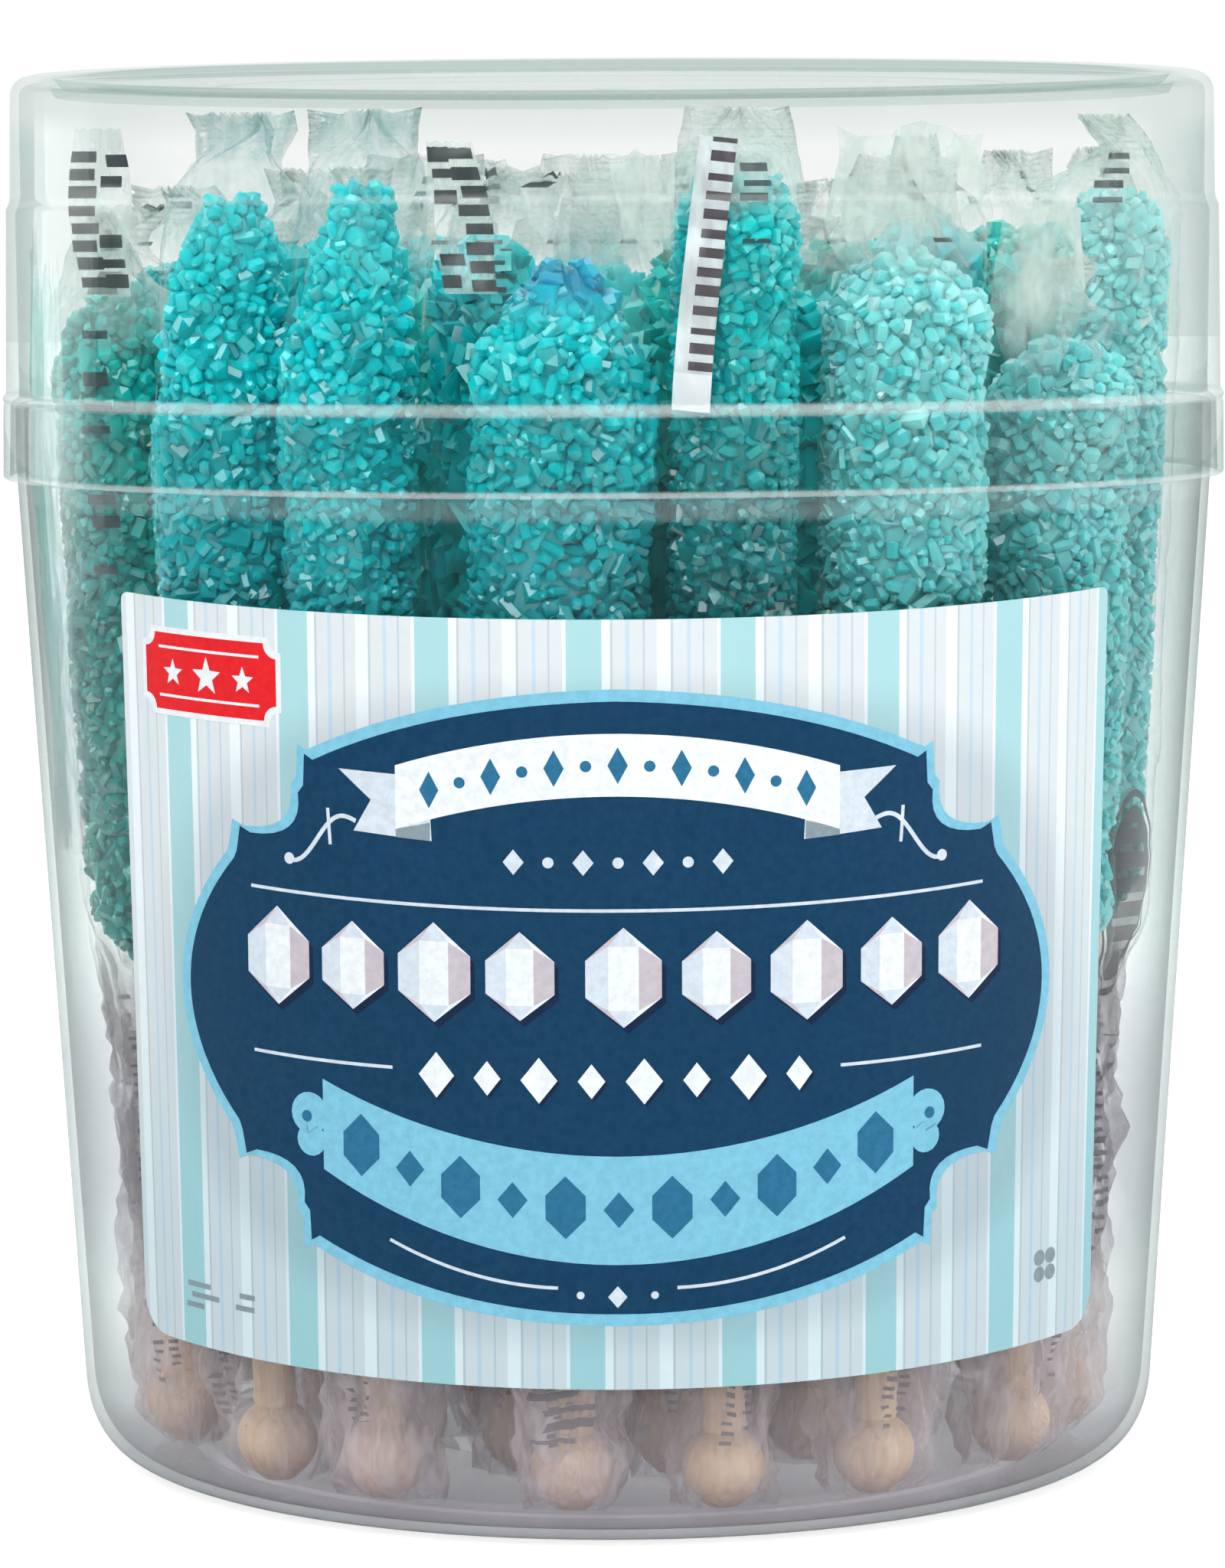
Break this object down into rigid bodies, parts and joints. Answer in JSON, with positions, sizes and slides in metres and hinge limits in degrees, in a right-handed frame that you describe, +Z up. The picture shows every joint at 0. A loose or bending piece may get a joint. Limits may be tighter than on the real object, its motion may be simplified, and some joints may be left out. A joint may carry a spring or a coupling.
{
  "type": "clear lidded tub of wrapped rock candy on sticks",
  "caption": "Clear round plastic tub with a deep clear lid and a front label, filled with teal rock candies, each crystal end up on a knob-ended wooden stick in its own clear wrapper.",
  "frame": {"origin": "centre of the tub's foot ring, on the surface that the tub stands on", "axes": "+Z up along the tub's axis, the label faces -Y"},
  "size_m": [0.165, 0.165, 0.1866],
  "materials": {
    "tub_plastic": "gloss",
    "lid_plastic": "gloss",
    "label_paper": "satin",
    "rock_candy": "gloss",
    "stick_wood": "matte",
    "wrapper_film": "gloss"
  },
  "bodies": {
    "root": {"tub": "tub_plastic", "lid": "lid_plastic", "label": "label_paper", "candy_01": "rock_candy", "candy_02": "rock_candy", "candy_03": "rock_candy", "candy_04": "rock_candy", "candy_05": "rock_candy", "candy_06": "rock_candy", "candy_07": "rock_candy", "candy_08": "rock_candy", "candy_09": "rock_candy", "candy_10": "rock_candy", "candy_11": "rock_candy", "candy_12": "rock_candy", "candy_13": "rock_candy", "candy_14": "rock_candy", "candy_15": "rock_candy", "candy_16": "rock_candy", "candy_17": "rock_candy", "candy_18": "rock_candy", "candy_19": "rock_candy", "candy_20": "rock_candy", "candy_21": "rock_candy", "candy_22": "rock_candy", "candy_23": "rock_candy", "candy_24": "rock_candy", "candy_25": "rock_candy", "candy_26": "rock_candy", "candy_27": "rock_candy", "candy_28": "rock_candy", "candy_29": "rock_candy", "candy_30": "rock_candy", "candy_31": "rock_candy", "candy_32": "rock_candy", "candy_33": "rock_candy", "candy_34": "rock_candy", "candy_35": "rock_candy", "candy_36": "rock_candy"}
  },
  "joints": []
}
